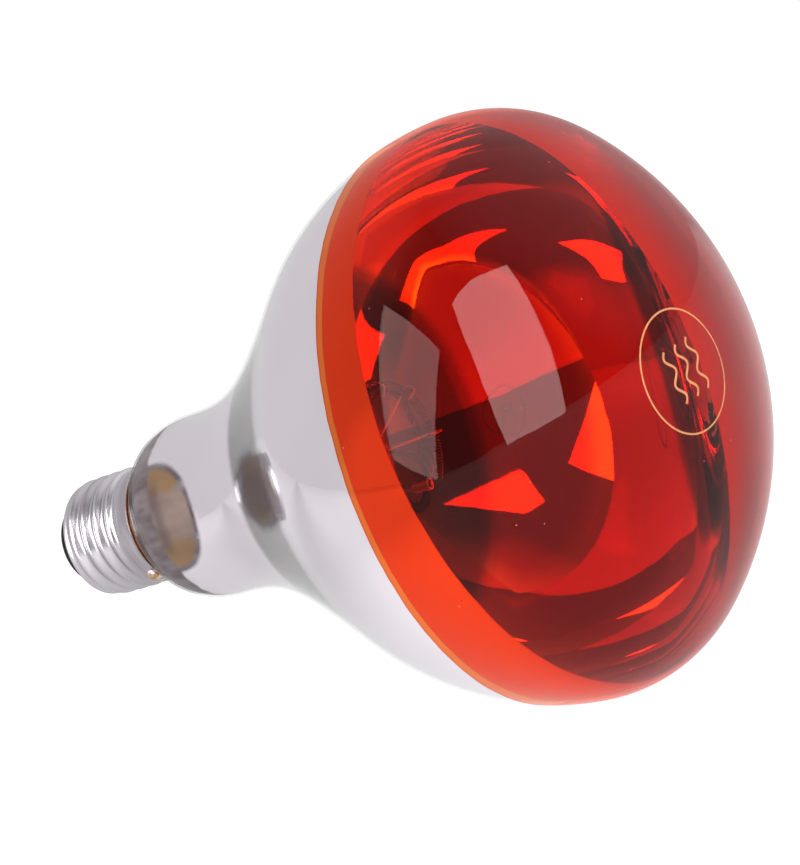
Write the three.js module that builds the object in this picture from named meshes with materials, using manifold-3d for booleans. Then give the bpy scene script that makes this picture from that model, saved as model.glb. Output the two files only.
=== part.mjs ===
// An infrared reflector heat lamp with an E27 screw cap, as hung over chicks and small livestock.
// Units are millimetres. The lamp's axis is Y: the origin is the middle of the flat end contact, the
// domed face looks along -Y, and +Z is up. A "station" is a distance from the end contact's flat face,
// measured along the axis towards the dome.
import * as THREE from "three";
import { mergeVertices } from "three/addons/utils/BufferGeometryUtils.js";
import Module from "manifold-3d";

const wasm = await Module();
wasm.setup();

// ---- driving dimensions ----

// the blown envelope
const LAMP_LENGTH = 162; // end contact to the top of the dome, over the red coat
const LAMP_RADIUS = 57.5; // at the widest circle, over the red coat
const WIDEST_STATION = 122.5;
const DOME_RADIUS = 69; // the nearly flat front
const SHOULDER_RADIUS = 25.4; // the rounded corner between the front and the widest circle
const BOWL_RADIUS = 54.3; // the back of the bowl, behind the widest circle
const BOWL_SWEEP = THREE.MathUtils.degToRad(39.5); // how far the bowl's arc runs back
const NECK_RADIUS = 20;
const NECK_STATION = 41; // where the neck is straight
const NECK_SHOULDER_STATION = 39; // where the neck starts to round in towards the cap
const NECK_SHOULDER_DEPTH = 13.3;
const THROAT_PULL = 34.5; // how far the throat keeps the bowl's direction
const NECK_PULL = 13; // how far it keeps the neck's direction
const COLLAR_RADIUS = 10.8; // the glass inside the cap
const COLLAR_END_STATION = 17;
const GLASS_THICKNESS = 1.0;

// the two coatings
const COATING_THICKNESS = 0.2;
const COATING_GAP = 0.1; // stands for the bond between a coating and the glass
const RED_COAT_EDGE_STATION = 111.9;
const FILM_FRONT_STATION = 125.5;
const FILM_REAR_STATION = 29.5;

// the E27 cap
const CAP_LENGTH = 25.2; // end contact to the shell's rim
const RIM_RADIUS = 13.65;
const SKIRT_RADIUS = 12.95; // the plain band between the thread and the rim
const SKIRT_STATION = 21.9;
const RIM_FOOT_RADIUS = 13.1; // where the skirt starts to flare out to the rim
const RIM_FOOT_STATION = 24.2;
const SHELL_THICKNESS = 0.3;
const THREAD_PITCH = 25.4 / 7;
const THREAD_MEAN_RADIUS = 12.62;
const THREAD_DEPTH = 1.0; // crest to root
const THREAD_START_STATION = 5.6;
const THREAD_END_STATION = 21;
const THREAD_RUN_OUT = 2.2; // the length over which the thread fades at each end
const SOLDER_ANGLE = THREE.MathUtils.degToRad(220); // about +Y's axis line, from +X towards +Z

// the glass stem and what stands on it
const STEM_TUBE_RADIUS = 6.5;
const STEM_WALL = 1.0;
const FLARE_LIP_STATION = 15.8;
const PRESS_STATION = 44.2; // the end of the stem tube
const PRESS_LENGTH = 11;
const PRESS_WIDTH = 15;
const PRESS_THICKNESS = 4.2;
const EXHAUST_RADIUS = 2.1;
const EXHAUST_TIP_STATION = 9.2;
const ARBOR_RADIUS = 1.6;
const ARBOR_TOP_STATION = 80;
const BUTTON_RADIUS = 3.2;
const BUTTON_MIDDLE = 1.8; // above the button's foot
const SHIELD_RADIUS = 17;
const SHIELD_STATION = 60;
const SHIELD_THICKNESS = 0.5;
const EYELET_RADIUS = 1.05; // of the rivet's tube through the shield
const LEAD_SPACING = 9; // between the two leads, where they leave the press
const OUTER_LEAD_X = LEAD_SPACING / 2 - 0.6; // the outer leads lean in towards the pumping tube

// the filament and its wires
const FILAMENT_STATION = 88;
const FILAMENT_RING_RADIUS = 12.5;
const FILAMENT_COIL_RADIUS = 1.0;
const FILAMENT_WIRE_RADIUS = 0.22;
const FILAMENT_TURNS = 32;
const FILAMENT_GAP = THREE.MathUtils.degToRad(64); // left open in the ring, between the two clamps
const FILAMENT_TAIL = 0.09; // the angle, in radians, between a clamp and the first turn
const CLAMP_LENGTH = 4;
const CLAMP_RADIUS = 1.25;
const CLAMP_TOP_STATION = FILAMENT_STATION - 1.6;
const SUPPORT_COUNT = 5;
const SUPPORT_WIRE_RADIUS = 0.25;
const OUTER_LEAD_RADIUS = 0.28;
const SEAL_WIRE_RADIUS = 0.35;
const INNER_LEAD_RADIUS = 0.5;

const FIT_GAP = 0.25; // left between two pieces that touch
const ROUND_SEGMENTS = 28; // one count for everything turned about the axis, so that the flats line up

// ---- small helpers ----

/** A point of a turned outline. */
function at(radius, station) {
  return new THREE.Vector2(radius, -station);
}

/** A place in the lamp: across, station and height. */
function place(x, station, z) {
  return new THREE.Vector3(x, -station, z);
}

/** The direction square to the axis at an angle measured from +X towards +Z. */
function spoke(angle, radius, station) {
  return place(radius * Math.cos(angle), station, radius * Math.sin(angle));
}

/** Turns an outline about the Y axis. It closes on itself, or starts and ends on the axis. */
function turned(outline, segments = ROUND_SEGMENTS) {
  const points = THREE.ShapeUtils.area(outline) < 0 ? outline.slice().reverse() : outline.slice();
  const onAxis = points[0].x === 0 && points[points.length - 1].x === 0;
  if (!onAxis) points.push(points[0].clone());
  return new THREE.LatheGeometry(points, segments);
}

/** A regular polygon that stands for a wire's round section. */
function roundSection(radius, sides) {
  const corners = Array.from({ length: sides }, (_, i) => {
    const angle = (2 * Math.PI * i) / sides;
    return new THREE.Vector2(radius * Math.cos(angle), radius * Math.sin(angle));
  });
  return new THREE.Shape(corners);
}

/** A wire of round section along a curve. */
function wireAlong(curve, radius, steps, sides = 6) {
  return new THREE.ExtrudeGeometry(roundSection(radius, sides), {
    steps,
    bevelEnabled: false,
    extrudePath: curve,
  });
}

/** A wire that bends gently through the given places. */
function bentWire(places, radius, steps) {
  return wireAlong(new THREE.CatmullRomCurve3(places, false, "centripetal"), radius, steps);
}

/** A straight round rod or wire between two places. */
function rod(from, to, radius, sides = 12) {
  return wireAlong(new THREE.LineCurve3(from, to), radius, 1, sides);
}

function toSolid(geometry) {
  const bare = geometry.clone();
  bare.deleteAttribute("normal");
  bare.deleteAttribute("uv");
  const merged = mergeVertices(bare, 1e-4);
  return new wasm.Manifold(
    new wasm.Mesh({
      numProp: 3,
      vertProperties: merged.attributes.position.array,
      triVerts: new Uint32Array(merged.index.array),
    }),
  );
}

/** Cuts the tools out of a body. */
function cut(body, ...tools) {
  const result = tools.reduce((rest, tool) => rest.subtract(toSolid(tool)), toSolid(body));
  const mesh = result.getMesh();
  return new THREE.BufferGeometry()
    .setAttribute("position", new THREE.BufferAttribute(mesh.vertProperties, 3))
    .setIndex(new THREE.BufferAttribute(mesh.triVerts, 1));
}

function material(color, roughness, metalness, opacity = 1) {
  return new THREE.MeshStandardMaterial({
    color,
    roughness,
    metalness,
    opacity,
    transparent: opacity < 1,
  });
}

const lamp = new THREE.Group();

function addPiece(name, geometry, look) {
  const mesh = new THREE.Mesh(geometry, look);
  mesh.name = name;
  lamp.add(mesh);
}

// ---- the envelope's outline ----

/** The glass's outer curves, from the top of the dome to the end of the collar inside the cap. */
function envelopeCurves() {
  const coating = COATING_GAP + COATING_THICKNESS;
  const glassRadius = LAMP_RADIUS - coating;
  const domeCentre = -LAMP_LENGTH + coating + DOME_RADIUS;
  const domeSweep = Math.asin((glassRadius - SHOULDER_RADIUS) / (DOME_RADIUS - SHOULDER_RADIUS));
  const bowlEnd = new THREE.Vector2(
    glassRadius - BOWL_RADIUS * (1 - Math.cos(BOWL_SWEEP)),
    -WIDEST_STATION + BOWL_RADIUS * Math.sin(BOWL_SWEEP),
  );
  const bowlEndDirection = new THREE.Vector2(-Math.sin(BOWL_SWEEP), Math.cos(BOWL_SWEEP));
  const quarter = Math.PI / 2;
  return [
    {
      curve: new THREE.EllipseCurve(
        0, domeCentre, DOME_RADIUS, DOME_RADIUS, -quarter, -quarter + domeSweep,
      ),
      divisions: 5,
    },
    {
      curve: new THREE.EllipseCurve(
        glassRadius - SHOULDER_RADIUS, -WIDEST_STATION, SHOULDER_RADIUS, SHOULDER_RADIUS,
        -quarter + domeSweep, 0,
      ),
      divisions: 4,
    },
    {
      curve: new THREE.EllipseCurve(
        glassRadius - BOWL_RADIUS, -WIDEST_STATION, BOWL_RADIUS, BOWL_RADIUS, 0, BOWL_SWEEP,
      ),
      divisions: 4,
    },
    {
      curve: new THREE.CubicBezierCurve(
        bowlEnd,
        bowlEnd.clone().addScaledVector(bowlEndDirection, THROAT_PULL),
        at(NECK_RADIUS, NECK_STATION + NECK_PULL),
        at(NECK_RADIUS, NECK_STATION),
      ),
      divisions: 7,
    },
    {
      curve: new THREE.EllipseCurve(
        COLLAR_RADIUS, -NECK_SHOULDER_STATION, NECK_RADIUS - COLLAR_RADIUS, NECK_SHOULDER_DEPTH,
        0, quarter,
      ),
      divisions: 5,
    },
    {
      curve: new THREE.LineCurve(
        at(COLLAR_RADIUS, NECK_SHOULDER_STATION - NECK_SHOULDER_DEPTH),
        at(COLLAR_RADIUS, COLLAR_END_STATION),
      ),
      divisions: 1,
    },
  ];
}

/** Stops along the outline, each a point with the direction that points out of the glass. */
function envelopeStops() {
  const stops = [];
  for (const { curve, divisions } of envelopeCurves()) {
    for (let i = stops.length ? 1 : 0; i <= divisions; i++) {
      const point = curve.getPoint(i / divisions);
      const tangent = curve.getTangent(i / divisions);
      const outward = new THREE.Vector2(tangent.y, -tangent.x);
      stops.push({ point, outward });
    }
  }
  stops[0].point.x = 0;
  stops[0].outward.set(0, -1);
  return stops;
}

const ENVELOPE = envelopeStops();

/** The stop where the outline crosses a station, between two of its stops. */
function stopAt(station) {
  const next = ENVELOPE.findIndex(({ point }) => -point.y <= station);
  const from = ENVELOPE[next - 1];
  const to = ENVELOPE[next];
  const share = (-station - from.point.y) / (to.point.y - from.point.y);
  return {
    point: from.point.clone().lerp(to.point, share),
    outward: from.outward.clone().lerp(to.outward, share),
  };
}

/** The outline's stops from a front station back to a rear one. */
function stopsBetween(frontStation, rearStation) {
  const inside = ENVELOPE.filter(({ point }) => -point.y < frontStation && -point.y > rearStation);
  return [stopAt(frontStation), ...inside, stopAt(rearStation)];
}

/** The outline moved out by a distance, or in by a negative one. */
function offset(stops, distance) {
  return stops.map(({ point, outward }) => {
    const moved = point.clone().addScaledVector(outward, distance);
    if (point.x === 0) moved.x = 0;
    return moved;
  });
}

/** A turned skin between two offsets of the same stretch of outline. */
function skin(stops, outerOffset, innerOffset) {
  return turned([...offset(stops, outerOffset), ...offset(stops, innerOffset).reverse()]);
}

// ---- the envelope and its coatings ----

function bulbGlass() {
  return skin(ENVELOPE, 0, -GLASS_THICKNESS);
}

function redFilterCoat() {
  const edge = stopAt(RED_COAT_EDGE_STATION);
  const front = ENVELOPE.filter(({ point }) => -point.y > RED_COAT_EDGE_STATION);
  return skin([...front, edge], COATING_GAP + COATING_THICKNESS, COATING_GAP);
}

function reflectorFilm() {
  const behindGlass = -GLASS_THICKNESS - COATING_GAP;
  const stops = stopsBetween(FILM_FRONT_STATION, FILM_REAR_STATION);
  return skin(stops, behindGlass, behindGlass - COATING_THICKNESS);
}

// ---- the cap ----

/** How far a point of the rolled shell stands out from the thread's mean radius. */
function threadWave(angle, station) {
  const fadeIn = THREE.MathUtils.smoothstep(
    station, THREAD_START_STATION, THREAD_START_STATION + THREAD_RUN_OUT,
  );
  const fadeOut = THREE.MathUtils.smoothstep(
    station, THREAD_END_STATION - THREAD_RUN_OUT, THREAD_END_STATION,
  );
  const phase = (-2 * Math.PI * station) / THREAD_PITCH - angle;
  return 0.5 * THREAD_DEPTH * Math.cos(phase) * fadeIn * (1 - fadeOut);
}

/** The thin rolled shell: the thread shows on its inside as it does on its outside. */
function screwShell() {
  const stepsPerTurn = 5;
  const threadSteps = Math.round(
    ((THREAD_END_STATION - THREAD_START_STATION) / THREAD_PITCH) * stepsPerTurn,
  );
  const threaded = Array.from({ length: threadSteps + 1 }, (_, i) =>
    at(
      THREAD_MEAN_RADIUS,
      THREE.MathUtils.lerp(THREAD_START_STATION, THREAD_END_STATION, i / threadSteps),
    ),
  );
  const turnedIn = [at(9.7, 3.9), at(10.9, 4.2), at(11.9, 4.8)];
  const outside = [
    ...turnedIn,
    ...threaded,
    at(SKIRT_RADIUS, SKIRT_STATION),
    at(RIM_FOOT_RADIUS, RIM_FOOT_STATION),
    at(RIM_RADIUS, CAP_LENGTH),
  ];
  const inside = outside.map((point) => point.clone());
  for (const point of inside) point.x -= SHELL_THICKNESS;
  // the turned-in end is a sheet seen edge-on, so its inside is moved along the axis too
  for (const point of inside.slice(0, turnedIn.length)) point.y -= SHELL_THICKNESS;
  const geometry = turned([...outside, ...inside.reverse()]);
  const position = geometry.attributes.position;
  for (let i = 0; i < position.count; i++) {
    const x = position.getX(i);
    const z = position.getZ(i);
    const stretch = 1 + threadWave(Math.atan2(x, z), -position.getY(i)) / Math.hypot(x, z);
    position.setX(i, x * stretch);
    position.setZ(i, z * stretch);
  }
  return geometry;
}

/** The black glass between the shell and the end contact: a round bead about a flat seat. */
function capInsulator() {
  const seatStation = 1.7;
  const sideRadius = 9.1;
  const shankRadius = 3.4; // the narrow part inside the shell
  const shankStation = 7;
  const boreRadius = 1.9;
  const boreEndStation = 5.2;
  return turned([
    at(boreRadius, seatStation),
    at(5.1, seatStation),
    at(5.8, 1.15),
    at(6.8, 0.85),
    at(7.8, 0.9),
    at(8.7, 1.35),
    at(9.4, 2.1),
    at(9.75, 2.9),
    at(9.75, 3.5),
    at(sideRadius, 3.6),
    at(sideRadius, shankStation),
    at(shankRadius, shankStation),
    at(shankRadius, boreEndStation),
    at(boreRadius, boreEndStation),
  ]);
}

/** The brass eyelet whose flange is the end contact and whose shank holds it in the glass. */
function centreContact() {
  const boreRadius = 0.7;
  const shankRadius = 1.6;
  const shankEndStation = 4.6;
  const flangeRadius = 4.7;
  const flangeStation = 0.85;
  return turned([
    at(boreRadius, flangeStation),
    at(flangeRadius - 0.4, flangeStation),
    at(flangeRadius, flangeStation + 0.15),
    at(flangeRadius, flangeStation + 0.55),
    at(shankRadius, flangeStation + 0.55),
    at(shankRadius, shankEndStation),
    at(boreRadius, shankEndStation),
  ]);
}

function centreSolder() {
  return turned([at(0, 0), at(2.2, 0), at(2.8, 0.25), at(3, 0.6), at(0, 0.6)]);
}

/** The side wire runs up between the collar and the shell in a slot through the cement. */
const SIDE_WIRE_RADIUS_FROM_AXIS = COLLAR_RADIUS + FIT_GAP + OUTER_LEAD_RADIUS;

function basingCement() {
  const ring = turned([
    at(COLLAR_RADIUS + FIT_GAP, SKIRT_STATION),
    at(SKIRT_RADIUS - SHELL_THICKNESS - FIT_GAP, SKIRT_STATION),
    at(RIM_FOOT_RADIUS - SHELL_THICKNESS - FIT_GAP, RIM_FOOT_STATION),
    at(13.05, CAP_LENGTH + FIT_GAP),
    at(13.35, CAP_LENGTH + 0.35),
    at(13.2, CAP_LENGTH + 0.62),
    at(COLLAR_RADIUS + FIT_GAP, CAP_LENGTH + 0.2),
  ]);
  const slotRadius = OUTER_LEAD_RADIUS + 0.4;
  const foot = spoke(SOLDER_ANGLE, SIDE_WIRE_RADIUS_FROM_AXIS, SKIRT_STATION - 0.9);
  const bend = spoke(SOLDER_ANGLE, SIDE_WIRE_RADIUS_FROM_AXIS, CAP_LENGTH + 2);
  const slot = rod(foot, bend, slotRadius);
  const way = rod(
    spoke(SOLDER_ANGLE, SIDE_WIRE_RADIUS_FROM_AXIS - 0.6, CAP_LENGTH + 0.3),
    spoke(SOLDER_ANGLE, 15, CAP_LENGTH + 0.5),
    slotRadius,
  );
  return cut(ring, slot, way);
}

/** A drop of solder over the shell's rim, with its long side round the rim. */
function sideSolder() {
  const drop = new THREE.SphereGeometry(1, 12, 8);
  drop.scale(1.0, 1.5, 2.1);
  drop.rotateY(-SOLDER_ANGLE);
  const centre = spoke(SOLDER_ANGLE, 14, 23.95);
  drop.translate(centre.x, centre.y, centre.z);
  const below = 20;
  const above = CAP_LENGTH + 3;
  const shellSide = turned([
    at(0, below),
    at(SKIRT_RADIUS - 0.05 + FIT_GAP, below),
    at(RIM_FOOT_RADIUS + FIT_GAP, RIM_FOOT_STATION),
    at(RIM_RADIUS + FIT_GAP, CAP_LENGTH + 0.1),
    at(RIM_RADIUS + FIT_GAP, above),
    at(0, above),
  ]);
  return cut(drop, shellSide);
}

// ---- the stem ----

/** The stem's flare: its wide lip closes the glass collar, and its tube carries the press. */
function stemFlare() {
  const innerLip = COLLAR_RADIUS - GLASS_THICKNESS - FIT_GAP;
  return turned([
    at(COLLAR_RADIUS, FLARE_LIP_STATION),
    at(COLLAR_RADIUS, COLLAR_END_STATION - FIT_GAP),
    at(innerLip - 0.6, COLLAR_END_STATION - FIT_GAP),
    at(innerLip - 1.8, 18.6),
    at(STEM_TUBE_RADIUS + 0.2, 22.5),
    at(STEM_TUBE_RADIUS, 27),
    at(STEM_TUBE_RADIUS, PRESS_STATION),
    at(STEM_TUBE_RADIUS - STEM_WALL, PRESS_STATION),
    at(STEM_TUBE_RADIUS - STEM_WALL, 27),
    at(STEM_TUBE_RADIUS - STEM_WALL + 0.2, 21.8),
    at(innerLip - 2.4, 17.6),
    at(innerLip - 1, FLARE_LIP_STATION),
  ]);
}

/** The pinched end of the stem, in which the two seal wires lie. */
function stemPress() {
  const half = PRESS_WIDTH / 2;
  const side = PRESS_THICKNESS / 2;
  const outline = new THREE.Shape();
  outline.moveTo(-half + side, -side);
  outline.lineTo(half - side, -side);
  outline.absarc(half - side, 0, side, -Math.PI / 2, Math.PI / 2);
  outline.lineTo(-half + side, side);
  outline.absarc(-half + side, 0, side, Math.PI / 2, (3 * Math.PI) / 2);
  const geometry = new THREE.ExtrudeGeometry(outline, {
    depth: PRESS_LENGTH,
    bevelEnabled: false,
    curveSegments: 8,
  });
  geometry.rotateX(Math.PI / 2).translate(0, -PRESS_STATION - FIT_GAP, 0);
  const wireHole = SEAL_WIRE_RADIUS + FIT_GAP;
  const holes = [-1, 1].map((side) =>
    rod(
      place((side * LEAD_SPACING) / 2, PRESS_STATION - 1, 0),
      place((side * LEAD_SPACING) / 2, PRESS_STATION + PRESS_LENGTH + 1, 0),
      wireHole,
    ),
  );
  return cut(geometry, ...holes);
}

/** The tube through which the lamp is pumped out, melted shut at the tip inside the cap. */
function exhaustTube() {
  const outer = EXHAUST_RADIUS;
  const inner = EXHAUST_RADIUS - 0.8;
  const top = PRESS_STATION - FIT_GAP;
  return turned(
    [
      at(0, EXHAUST_TIP_STATION),
      at(0.8, EXHAUST_TIP_STATION + 0.3),
      at(outer, EXHAUST_TIP_STATION + 2.6),
      at(outer, top),
      at(inner, top),
      at(inner, EXHAUST_TIP_STATION + 4),
      at(0, EXHAUST_TIP_STATION + 2.4),
    ],
    16,
  );
}

const PRESS_TOP_STATION = PRESS_STATION + FIT_GAP + PRESS_LENGTH;

function arborRod() {
  const foot = place(0, PRESS_TOP_STATION + FIT_GAP, 0);
  return rod(foot, place(0, ARBOR_TOP_STATION, 0), ARBOR_RADIUS);
}

/** The glass button on the rod's end, into which the filament's supports are set. */
function arborButton() {
  const foot = ARBOR_TOP_STATION + FIT_GAP;
  const shoulder = BUTTON_RADIUS - 1.3;
  return turned(
    [
      at(0, foot),
      at(shoulder, foot),
      at(BUTTON_RADIUS, foot + 1),
      at(BUTTON_RADIUS, foot + 2.6),
      at(shoulder, foot + 3.7),
      at(0, foot + 3.9),
    ],
    16,
  );
}

// ---- the leads ----

/** The wire from the press down past the pumping tube's tip to the end contact's solder. */
function centreLead() {
  return bentWire(
    [
      place(OUTER_LEAD_X, PRESS_STATION - FIT_GAP, 0),
      place(OUTER_LEAD_X, 34, 0),
      place(OUTER_LEAD_X, 15, 0),
      place(2.9, 10.5, 0),
      place(0.6, 7.6, 0),
      place(0, 6.2, 0),
      place(0, 3.2, 0),
      place(0, 0.85, 0),
    ],
    OUTER_LEAD_RADIUS,
    18,
  );
}

/** A glass sleeve on the centre lead: the thin link inside it melts if the lamp arcs. */
function leadFuse() {
  const bore = OUTER_LEAD_RADIUS + 0.2;
  const outer = 0.95;
  const foot = 21;
  const top = 30;
  const sleeve = turned([at(bore, foot), at(outer, foot), at(outer, top), at(bore, top)], 12);
  return sleeve.translate(OUTER_LEAD_X, 0, 0);
}

/** The wire from the press out between the collar and the shell, and over the rim to its solder. */
function sideLead() {
  const away = (radius, station) => spoke(SOLDER_ANGLE, radius, station);
  return bentWire(
    [
      place(-OUTER_LEAD_X, PRESS_STATION - FIT_GAP, 0),
      place(-OUTER_LEAD_X, 34, 0),
      place(-OUTER_LEAD_X, 20, -0.2),
      place(-4.6, 15.2, -2.4),
      away(7.6, 13.4),
      away(10.2, 14.4),
      away(SIDE_WIRE_RADIUS_FROM_AXIS, 17),
      away(SIDE_WIRE_RADIUS_FROM_AXIS, 21),
      away(SIDE_WIRE_RADIUS_FROM_AXIS, 24.4),
      away(SIDE_WIRE_RADIUS_FROM_AXIS + 0.7, CAP_LENGTH + 0.35),
      away(13.5, CAP_LENGTH + 0.62),
      away(14.3, CAP_LENGTH + 0.78),
    ],
    OUTER_LEAD_RADIUS,
    32,
  );
}

/** The short wire sealed into the glass of the press, which joins an outer lead to an inner one. */
function sealWire(side) {
  const x = (side * LEAD_SPACING) / 2;
  const foot = place(x, PRESS_STATION + FIT_GAP, 0);
  return rod(foot, place(x, PRESS_TOP_STATION, 0), SEAL_WIRE_RADIUS, 8);
}

/** Where the filament's ring starts or ends, by side. */
function filamentEnd(side) {
  const angle = -Math.PI / 2 + (side * FILAMENT_GAP) / 2;
  return spoke(angle, FILAMENT_RING_RADIUS, FILAMENT_STATION);
}

/** The wire that carries the filament, from the press through the shield to its clamp. */
function innerLead(side) {
  const end = filamentEnd(side);
  const x = (side * LEAD_SPACING) / 2;
  return bentWire(
    [
      place(x, PRESS_TOP_STATION + FIT_GAP, 0),
      place(x, SHIELD_STATION - 1, 0),
      place(x, SHIELD_STATION + 4, 0),
      place(x + side * 0.6, 70, -4),
      place(end.x, FILAMENT_STATION - 8, end.z),
      place(end.x, FILAMENT_STATION - 1.2, end.z),
    ],
    INNER_LEAD_RADIUS,
    16,
  );
}

/** A tube crimped over the lead's end, which also grips the filament's tail. */
function filamentClamp(side) {
  const end = filamentEnd(side);
  const bore = INNER_LEAD_RADIUS + FIT_GAP;
  const foot = CLAMP_TOP_STATION - CLAMP_LENGTH;
  const sleeve = turned(
    [
      at(bore, foot),
      at(CLAMP_RADIUS, foot),
      at(CLAMP_RADIUS, CLAMP_TOP_STATION),
      at(bore, CLAMP_TOP_STATION),
    ],
    12,
  );
  return sleeve.translate(end.x, 0, end.z);
}

// ---- the filament ----

/** The centre line of a coil that is itself bent round a ring. */
class CoiledRing extends THREE.Curve {
  getPoint(t, target = new THREE.Vector3()) {
    const start = -Math.PI / 2 + FILAMENT_GAP / 2 + FILAMENT_TAIL;
    const sweep = 2 * Math.PI - FILAMENT_GAP - 2 * FILAMENT_TAIL;
    const ringAngle = start + sweep * t;
    const coilAngle = 2 * Math.PI * FILAMENT_TURNS * t;
    const radius = FILAMENT_RING_RADIUS + FILAMENT_COIL_RADIUS * Math.cos(coilAngle);
    const station = FILAMENT_STATION + FILAMENT_COIL_RADIUS * Math.sin(coilAngle);
    return target.copy(spoke(ringAngle, radius, station));
  }
}

function filament() {
  const stepsPerTurn = 5;
  return wireAlong(new CoiledRing(), FILAMENT_WIRE_RADIUS, FILAMENT_TURNS * stepsPerTurn, 3);
}

/** A wire from the button that hooks round the outside of the coil. */
function filamentSupport(index) {
  const sweep = 2 * Math.PI - FILAMENT_GAP;
  const angle = -Math.PI / 2 + FILAMENT_GAP / 2 + (sweep * (index + 1)) / (SUPPORT_COUNT + 1);
  const clear = FILAMENT_COIL_RADIUS + FILAMENT_WIRE_RADIUS + SUPPORT_WIRE_RADIUS + FIT_GAP;
  const away = (radius, station) => spoke(angle, radius, station);
  const buttonMiddle = ARBOR_TOP_STATION + FIT_GAP + BUTTON_MIDDLE;
  return bentWire(
    [
      away(BUTTON_RADIUS + FIT_GAP, buttonMiddle),
      away(FILAMENT_RING_RADIUS - 4.5, FILAMENT_STATION - clear - 2),
      away(FILAMENT_RING_RADIUS - 1.2, FILAMENT_STATION - clear - 0.2),
      away(FILAMENT_RING_RADIUS + clear, FILAMENT_STATION - 0.4),
      away(FILAMENT_RING_RADIUS + 0.4, FILAMENT_STATION + clear + 0.2),
      away(FILAMENT_RING_RADIUS - clear, FILAMENT_STATION + 0.9),
    ],
    SUPPORT_WIRE_RADIUS,
    16,
  );
}

// ---- the heat shield ----

/** A mica disc across the neck that keeps the filament's heat off the cap. */
function heatShield() {
  const outline = new THREE.Shape().absarc(0, 0, SHIELD_RADIUS, 0, 2 * Math.PI);
  const opening = (x, radius) => new THREE.Path().absarc(x, 0, radius, 0, 2 * Math.PI);
  outline.holes.push(
    opening(0, ARBOR_RADIUS + 0.5),
    opening(-LEAD_SPACING / 2, EYELET_RADIUS + 0.3),
    opening(LEAD_SPACING / 2, EYELET_RADIUS + 0.3),
  );
  const geometry = new THREE.ExtrudeGeometry(outline, {
    depth: SHIELD_THICKNESS,
    bevelEnabled: false,
    curveSegments: 12,
  });
  return geometry.rotateX(Math.PI / 2).translate(0, -SHIELD_STATION, 0);
}

/** A small rivet through the shield, which the lead passes. */
function shieldEyelet(side) {
  const bore = INNER_LEAD_RADIUS + FIT_GAP;
  const flange = SHIELD_STATION - FIT_GAP;
  const flangeRadius = 1.9;
  const flangeThickness = 0.3;
  const end = SHIELD_STATION + 1.6;
  const outline = [
    at(bore, flange - flangeThickness),
    at(flangeRadius, flange - flangeThickness),
    at(flangeRadius, flange),
    at(EYELET_RADIUS, flange),
    at(EYELET_RADIUS, end),
    at(bore, end),
  ];
  return turned(outline, 12).translate((side * LEAD_SPACING) / 2, 0, 0);
}

// ---- materials ----

const CLEAR_GLASS = () => material(0xe8ecec, 0.04, 0, 0.3);
const STEM_GLASS = () => material(0xdfe6e2, 0.08, 0, 0.5);
const RED_COAT = () => material(0xc8140a, 0.05, 0, 0.6);
const MIRROR = () => material(0xd6ced6, 0.06, 1);
const ALUMINIUM = () => material(0xc9c4c9, 0.28, 1);
const BLACK_GLASS = () => material(0x14110f, 0.2, 0);
const BRASS = () => material(0xc9a45a, 0.3, 1);
const SOLDER = () => material(0xb4b0ae, 0.35, 1);
const CEMENT = () => material(0x5a2d14, 0.7, 0);
const COPPER = () => material(0xb87048, 0.35, 1);
const NICKEL = () => material(0xa9a59c, 0.3, 1);
const TUNGSTEN = () => material(0x4f4d4c, 0.4, 1);
const MICA = () => material(0xa48a5e, 0.35, 0, 0.85);

// ---- the lamp ----

addPiece("bulb_glass", bulbGlass(), CLEAR_GLASS());
addPiece("reflector_film", reflectorFilm(), MIRROR());
addPiece("red_filter_coat", redFilterCoat(), RED_COAT());

addPiece("screw_shell", screwShell(), ALUMINIUM());
addPiece("cap_insulator", capInsulator(), BLACK_GLASS());
addPiece("centre_contact", centreContact(), BRASS());
addPiece("centre_solder", centreSolder(), SOLDER());
addPiece("side_solder", sideSolder(), SOLDER());
addPiece("basing_cement", basingCement(), CEMENT());

addPiece("stem_flare", stemFlare(), STEM_GLASS());
addPiece("stem_press", stemPress(), STEM_GLASS());
addPiece("exhaust_tube", exhaustTube(), STEM_GLASS());
addPiece("arbor_rod", arborRod(), STEM_GLASS());
addPiece("arbor_button", arborButton(), STEM_GLASS());

addPiece("centre_lead", centreLead(), COPPER());
addPiece("side_lead", sideLead(), COPPER());
addPiece("lead_fuse", leadFuse(), STEM_GLASS());
for (const [suffix, side] of [["a", 1], ["b", -1]]) {
  addPiece(`seal_wire_${suffix}`, sealWire(side), COPPER());
  addPiece(`inner_lead_${suffix}`, innerLead(side), NICKEL());
  addPiece(`filament_clamp_${suffix}`, filamentClamp(side), NICKEL());
  addPiece(`shield_eyelet_${suffix}`, shieldEyelet(side), BRASS());
}
addPiece("heat_shield", heatShield(), MICA());
addPiece("filament", filament(), TUNGSTEN());
for (let i = 0; i < SUPPORT_COUNT; i++) {
  addPiece(`filament_support_${i + 1}`, filamentSupport(i), NICKEL());
}

export default lamp;
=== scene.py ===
"""The looks of an infrared reflector heat lamp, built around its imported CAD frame.

Shapes are given in millimetres. The lamp's axis is Y and its dome looks along -Y. A "station" is the distance
from the end contact's flat face along the axis towards the dome, so that it lies at y = -station.
Angles round the axis go from +X towards +Z.
"""

import math
from bisect import bisect_left

import bmesh
import bpy
from mathutils import Matrix, Vector, noise


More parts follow.
